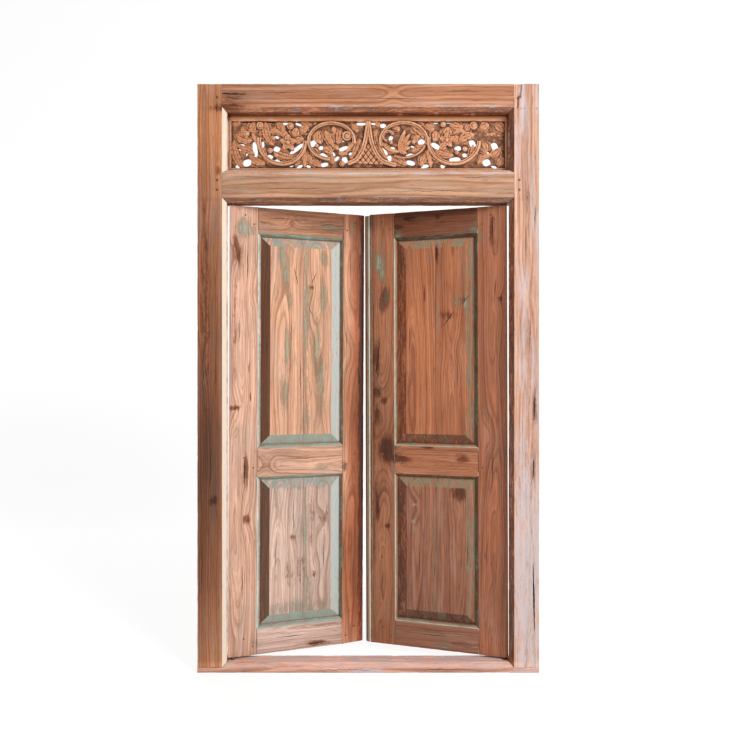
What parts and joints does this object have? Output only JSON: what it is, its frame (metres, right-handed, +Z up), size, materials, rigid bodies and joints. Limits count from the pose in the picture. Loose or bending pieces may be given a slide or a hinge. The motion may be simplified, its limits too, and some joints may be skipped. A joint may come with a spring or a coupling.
{
  "type": "carved double door with its frame",
  "caption": "Pair of raised-panel wooden door leaves hung on wooden pivots in a bevelled frame, under a pierced board carved with scrolling leaves, weathered teak with old green paint.",
  "frame": {"origin": "middle of the underside of the sill, half way through the frame", "axes": "+X to the right along the sill, -Y out of the front, +Z up"},
  "size_m": [1.37, 0.1832, 2.36],
  "materials": {
    "frame_wood": "dry, weathered and oiled, open grain",
    "carving_wood": "hand carved, dry",
    "left_leaf_wood": "worn, with remnants of green paint",
    "right_leaf_wood": "worn, with remnants of green paint",
    "peg_wood": "end grain"
  },
  "bodies": {
    "frame": {"left_post": "frame_wood", "right_post": "frame_wood", "head_rail": "frame_wood", "transom_rail": "frame_wood", "sill": "frame_wood", "carved_board": "carving_wood", "frame_pegs": "peg_wood"},
    "left_leaf": {"left_hinge_stile": "left_leaf_wood", "left_meeting_stile": "left_leaf_wood", "left_bottom_rail": "left_leaf_wood", "left_lock_rail": "left_leaf_wood", "left_top_rail": "left_leaf_wood", "left_lower_panel_hinge_board": "left_leaf_wood", "left_lower_panel_meeting_board": "left_leaf_wood", "left_upper_panel_hinge_board": "left_leaf_wood", "left_upper_panel_meeting_board": "left_leaf_wood", "left_pegs": "peg_wood"},
    "right_leaf": {"right_hinge_stile": "right_leaf_wood", "right_meeting_stile": "right_leaf_wood", "right_bottom_rail": "right_leaf_wood", "right_lock_rail": "right_leaf_wood", "right_top_rail": "right_leaf_wood", "right_lower_panel_hinge_board": "right_leaf_wood", "right_lower_panel_meeting_board": "right_leaf_wood", "right_upper_panel_hinge_board": "right_leaf_wood", "right_upper_panel_meeting_board": "right_leaf_wood", "right_pegs": "peg_wood", "right_cover_bead": "right_leaf_wood"}
  },
  "joints": [
    {"name": "left_leaf_swing", "type": "hinge", "parent": "frame", "child": "left_leaf", "pos_m": [-0.554, 0.0155, 0.9635], "axis": [0, 0, 1], "range_deg": [-13, 82]},
    {"name": "right_leaf_swing", "type": "hinge", "parent": "frame", "child": "right_leaf", "pos_m": [0.554, 0.0155, 0.9635], "axis": [0, 0, 1], "range_deg": [-83, 12]}
  ]
}
